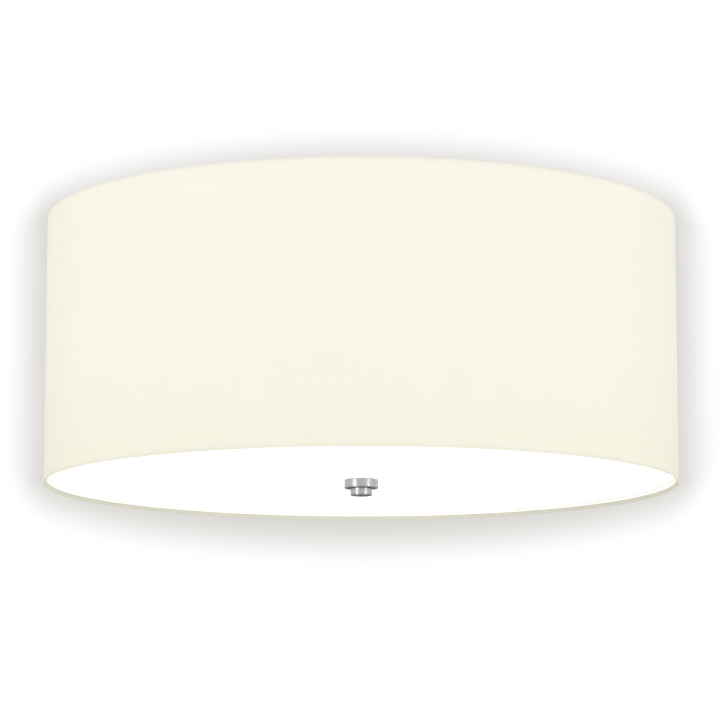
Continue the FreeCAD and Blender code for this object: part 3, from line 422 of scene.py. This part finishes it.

# ---- diffuser and its stop -------------------------------------------------------------------------
# A disc of opal acrylic closes the drum from below. It is pushed up the rod against a washer and a nut,
# with a silicone ring between, and the finial holds it there.
# Opal cast acrylic, laser cut: white all through and glossy. The bulbs' light leaving it evenly from
# below is painted on as a glow on its underside, while its top and its cut edge only look white.
acrylic, tree, place = new_finish("opal_acrylic")
dark_above, lit_below = -0.2, -0.9      # how far a surface faces up where the glow starts and is full
opal_cloud, opal_ripple = 30.0, 3.0     # in mm
painted_glow_share = remap(tree, facing_up(tree), given=(dark_above, lit_below))
painted_glow = blend(tree, painted_glow_share, "#3C3B38", "#FFFDF8")
shade = blend(tree, noise(tree, place, opal_cloud, detail=3.0), "#FBFBF8", "#F7F7F3")
ripple = noise(tree, place, opal_ripple)
gloss = remap(tree, ripple, wanted=(0.10, 0.16))
relief = add(tree, "Bump", {"Height": ripple, "Distance": 0.000006})
shader = add(tree, "BsdfPrincipled",
             {"Base Color": shade, "Roughness": gloss, "Normal": relief.outputs[0], "IOR": 1.49,
              "Emission Color": painted_glow, "Emission Strength": 0.75})
add(tree, "OutputMaterial", {"Surface": shader.outputs[0]})
dress(acrylic, "diffuser_disc")
dress(zinc_plate, "stop_nut", "stop_washer")

# Silicone, moulded clear: it lets light through and has a soft waxy gloss. Squeezed, each ring bulges
# by a fifth of a millimetre.
silicone = grained("clear_silicone", "#EEF0EF", "#E4E7E6", 3.0, (0.24, 0.34), 0.6, 0.006, IOR=1.41,
                   Transmission_Weight=0.5)
bulge = 0.0002
ring_steps = 96
section_steps = 24
squareness = 1.5                        # 1 for a round cross-section, more for a square one
for node, body, inner, outer in (("upper_cushion", "fixture", 0.0055, 0.0138),
                                 ("lower_cushion", "collar", 0.0057, 0.0118)):
    low, high = (corner.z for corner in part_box(node))
    section = []
    for step in range(section_steps):
        angle = 2 * math.pi * step / section_steps
        side, rise = (math.copysign(min(1.0, abs(share) * squareness), share)
                      for share in (math.cos(angle), math.sin(angle)))
        width = (outer - inner) / 2 + bulge * math.cos(angle) ** 2
        section.append(((outer + inner) / 2 + side * width, (low + high) / 2 + rise * (high - low) / 2))
    mesh = bmesh.new()
    loops = [[mesh.verts.new((radius * math.cos(2 * math.pi * step / ring_steps),
                              radius * math.sin(2 * math.pi * step / ring_steps), height))
              for radius, height in section] for step in range(ring_steps)]
    join_rings(mesh, loops + loops[:1])
    piece_from(mesh, node.replace("cushion", "silicone_ring"), silicone, "clear_silicone", body, node)
    dress(silicone, node)

# ---- finial ----------------------------------------------------------------------------------------
# The finial is turned from brass in two tiers: a wide collar that slides on the rod and a narrow cap
# that screws up under it. Both are nickel plated and brushed in the lathe.
# Satin nickel: a mid grey metal with fine turning lines, which run round its sides and in rings on
# its flat faces. They are a few hundredths of a millimetre apart and are drawn at 0.35 mm to show.
satin_nickel, tree, place = new_finish("satin_nickel_plated_brass")
line_gap, nickel_cloud = 0.35, 4.0      # in mm
xyz = add(tree, "SeparateXYZ", {"Vector": place})
from_axis = length_of(tree, xyz.outputs["X"], xyz.outputs["Y"])
along_tool = reckon(tree, "SUBTRACT", from_axis, xyz.outputs["Z"])
lines = add(tree, "TexNoise", {"W": along_tool, "Scale": 1000 / line_gap, "Detail": 2.0},
            noise_dimensions="1D").outputs[0]
shade = blend(tree, noise(tree, place, nickel_cloud), "#AFB0B3", "#A4A5A8")
gloss = remap(tree, lines, wanted=(0.20, 0.34))
relief = add(tree, "Bump", {"Height": lines, "Distance": 0.000004})
shader = add(tree, "BsdfPrincipled", {"Base Color": shade, "Roughness": gloss, "Normal": relief.outputs[0],
                                      "Metallic": 1.0})
add(tree, "OutputMaterial", {"Surface": shader.outputs[0]})
dress(satin_nickel, "finial_collar", "finial_cap")

# ---- studio ----------------------------------------------------------------------------------------
# A pale floor well below the light, open from underneath and fading out into a pale surround; three
# soft boxes that no gloss mirrors; and two narrow ones that only gloss mirrors, for the bright bands on
# the finial.
floor_height = -1.6
floor_reach = 9.0
fade_from, fade_to = 1.2, 5.0
bpy.ops.mesh.primitive_grid_add(x_subdivisions=8, y_subdivisions=8, size=2 * floor_reach,
                                location=(0, 0, floor_height))
floor = bpy.context.object
floor.name = "studio_floor"
floor_paint, tree, place = new_finish("pale_studio_paint")
grain = add(tree, "TexNoise", {"Vector": place, "Scale": 30.0}).outputs[0]
paint = add(tree, "BsdfDiffuse", {"Color": blend(tree, grain, "#F1F0EE", "#EDECEA")}).outputs[0]
clear = add(tree, "BsdfTransparent").outputs[0]
distance = add(tree, "VectorMath", {0: place}, operation="LENGTH").outputs["Value"]
fade = remap(tree, distance, given=(fade_from, fade_to), interpolation_type="SMOOTHSTEP")
gone = reckon(tree, "MAXIMUM", fade, add(tree, "NewGeometry").outputs["Backfacing"])
mixed = add(tree, "MixShader", {0: gone, 1: paint, 2: clear})
add(tree, "OutputMaterial", {"Surface": mixed.outputs[0]})
floor.data.materials.append(floor_paint)

# A dark band round the studio below the light, which only gloss mirrors: it draws the finial's
# undersides.
flag_radius = 2.5
flag_low, flag_high = -1.05, -0.42
bpy.ops.mesh.primitive_cylinder_add(vertices=96, radius=flag_radius, depth=flag_high - flag_low,
                                    end_fill_type="NOTHING", location=(0, 0, (flag_low + flag_high) / 2))
flag = bpy.context.object
flag.name = "dark_flag"
flag.visible_camera = flag.visible_diffuse = flag.visible_shadow = flag.visible_transmission = False
flag_cloth, tree, place = new_finish("black_flag_cloth")
nap = add(tree, "TexNoise", {"Vector": place, "Scale": 40.0}).outputs[0]
felt = add(tree, "BsdfDiffuse", {"Color": blend(tree, nap, "#3A3A3A", "#464646")})
add(tree, "OutputMaterial", {"Surface": felt.outputs[0]})
flag.data.materials.append(flag_cloth)

# The surround is a pale grey that turns white behind the light, with a soft grey patch in the white, a
# painted shadow round the drum that sets off its outline. The patch's edges are slopes: metres across or up
# for each metre away from the camera's place. Its top and its foot curve like half an ellipse.
white_within, grey_beyond = math.radians(9.0), math.radians(14.0)
patch_side, patch_reach = 0.0961, 0.1117
patch_top, patch_rise = 0.1859, 0.0302
patch_foot, patch_drop = 0.1313, 0.0245
patch_fade = 0.0157
fill_strength = 0.62
world = bpy.data.worlds.new("pale_surround")
bpy.context.scene.world = world
world.use_nodes = True
tree = world.node_tree
tree.nodes.clear()
direction = add(tree, "TexCoord").outputs["Generated"]
towards = add(tree, "VectorMath", {0: direction, 1: (0.0, math.cos(tilt_up), math.sin(tilt_up))},
              operation="DOT_PRODUCT").outputs["Value"]
near = remap(tree, towards, given=(math.cos(grey_beyond), math.cos(white_within)),
             interpolation_type="SMOOTHSTEP")
open_paper = blend(tree, near, "#E9E9E7", "#FFFFFF")
way = add(tree, "SeparateXYZ", {"Vector": direction})
slope_across, slope_up = (reckon(tree, "DIVIDE", way.outputs[axis], way.outputs["Y"]) for axis in ("X", "Z"))
aside = reckon(tree, "ABSOLUTE", slope_across)
share = reckon(tree, "MINIMUM", reckon(tree, "MULTIPLY", aside, 1 / patch_reach), 1.0)
level = reckon(tree, "SQRT", reckon(tree, "SUBTRACT", 1.0, reckon(tree, "POWER", share, 2.0)))
over = [reckon(tree, "MULTIPLY_ADD", slope_up, sign, reckon(tree, "MULTIPLY_ADD", level, -rise, -end))
        for sign, end, rise in ((1.0, patch_top, patch_rise), (-1.0, -patch_foot, patch_drop))]
upward = reckon(tree, "MAXIMUM", reckon(tree, "MAXIMUM", *over), 0.0)
sideways = reckon(tree, "MAXIMUM", reckon(tree, "SUBTRACT", aside, patch_side), 0.0)
fade = remap(tree, length_of(tree, sideways, upward), given=(0.0, patch_fade),
             interpolation_type="SMOOTHSTEP")
towards_front = reckon(tree, "LESS_THAN", way.outputs["Y"], 0.0)
paper_with_painted_shadow = blend(tree, reckon(tree, "MAXIMUM", fade, towards_front), "#DBD9D5", open_paper)
# seen, mirrored or looked at through a piece, it is that paper; for the rest it is an even white light
ray = add(tree, "LightPath")
looked_at = reckon(tree, "MAXIMUM", ray.outputs["Is Camera Ray"], ray.outputs["Is Glossy Ray"])
looked_at = reckon(tree, "MAXIMUM", looked_at, ray.outputs["Is Transmission Ray"])
fill = add(tree, "Background", {"Color": linear("#FFFFFF"), "Strength": fill_strength}).outputs[0]
shown = add(tree, "Background", {"Color": paper_with_painted_shadow, "Strength": 1.0}).outputs[0]
mixed = add(tree, "MixShader", {0: looked_at, 1: fill, 2: shown})
add(tree, "OutputWorld", {"Surface": mixed.outputs[0]})

# each lamp's place, size and watts, and whether it lights or is only mirrored
lamps = (("soft_box_left", (-2.2, -2.6, 0.7), (2.4, 1.8), 22.0, True),
         ("soft_box_right", (2.4, -2.2, -0.2), (2.0, 2.0), 17.0, True),
         ("soft_box_behind", (0.6, 2.6, 1.6), (2.0, 1.5), 16.0, True),
         ("strip_left", (-1.89, -1.79, -0.35), (0.22, 1.9), 63.0, False),
         ("strip_right", (1.98, -1.68, -0.35), (0.16, 1.9), 46.0, False))
aim = Vector((0, 0, -0.2))
for name, spot, size, watts, lights in lamps:
    lamp_data = bpy.data.lights.new(name, "AREA")
    lamp_data.shape = "RECTANGLE"
    lamp_data.size, lamp_data.size_y = size
    lamp_data.energy = watts
    lamp = bpy.data.objects.new(name, lamp_data)
    lamp.location = spot
    lamp.rotation_euler = (aim - lamp.location).to_track_quat("-Z", "Y").to_euler()
    lamp.visible_camera = False
    lamp.visible_diffuse = lights
    lamp.visible_glossy = not lights
    bpy.context.scene.collection.objects.link(lamp)
